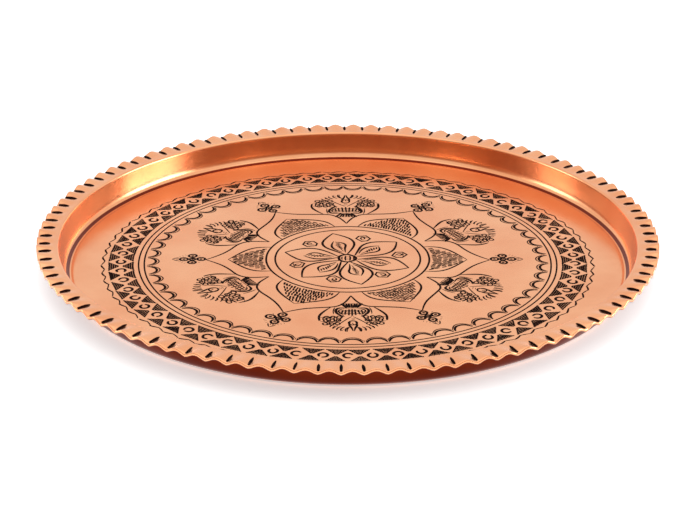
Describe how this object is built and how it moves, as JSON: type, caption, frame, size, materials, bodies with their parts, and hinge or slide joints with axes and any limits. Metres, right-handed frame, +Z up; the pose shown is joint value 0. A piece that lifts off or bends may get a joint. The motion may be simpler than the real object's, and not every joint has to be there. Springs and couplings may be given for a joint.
{
  "type": "round serving tray",
  "caption": "Round raised copper serving tray with a fluted rim and an engraved, black-filled floor, for carrying and serving glasses or sweets",
  "frame": {"origin": "centre of the underside, on the surface the tray rests on", "axes": "+Z is up, out of the bowl of the tray; +X and +Y lie in the floor, and +X passes through a point of the engraved star"},
  "size_m": [0.38, 0.38, 0.0204],
  "materials": {
    "copper": "planished and polished copper, lightly mottled by the hammer",
    "black_filling": "black compound rubbed into the engraved lines, matt"
  },
  "bodies": {
    "root": {"tray_body": "copper", "rim_notch_fills": "black_filling", "zigzag_fill": "black_filling", "outer_wedge_fills": "black_filling", "inner_wedge_fills": "black_filling", "lattice_ring_fills": "black_filling", "border_ring_outer_fill": "black_filling", "border_ring_inner_fill": "black_filling", "scallop_fills": "black_filling", "scallop_fine_fills": "black_filling", "star_outline_fill": "black_filling", "centre_ring_outer_fill": "black_filling", "centre_ring_inner_fill": "black_filling", "bud_fills": "black_filling", "hub_fill": "black_filling", "medallion_fill_1": "black_filling", "medallion_fill_2": "black_filling", "medallion_fill_3": "black_filling", "medallion_fill_4": "black_filling", "medallion_fill_5": "black_filling", "medallion_fill_6": "black_filling", "sprig_fill_1": "black_filling", "sprig_fill_2": "black_filling", "sprig_fill_3": "black_filling", "sprig_fill_4": "black_filling", "sprig_fill_5": "black_filling", "sprig_fill_6": "black_filling", "leaf_fill_1": "black_filling", "leaf_fill_2": "black_filling", "leaf_fill_3": "black_filling", "leaf_fill_4": "black_filling", "leaf_fill_5": "black_filling", "leaf_fill_6": "black_filling", "petal_fill_1": "black_filling", "petal_fill_2": "black_filling", "petal_fill_3": "black_filling", "petal_fill_4": "black_filling", "petal_fill_5": "black_filling", "petal_fill_6": "black_filling"}
  },
  "joints": []
}
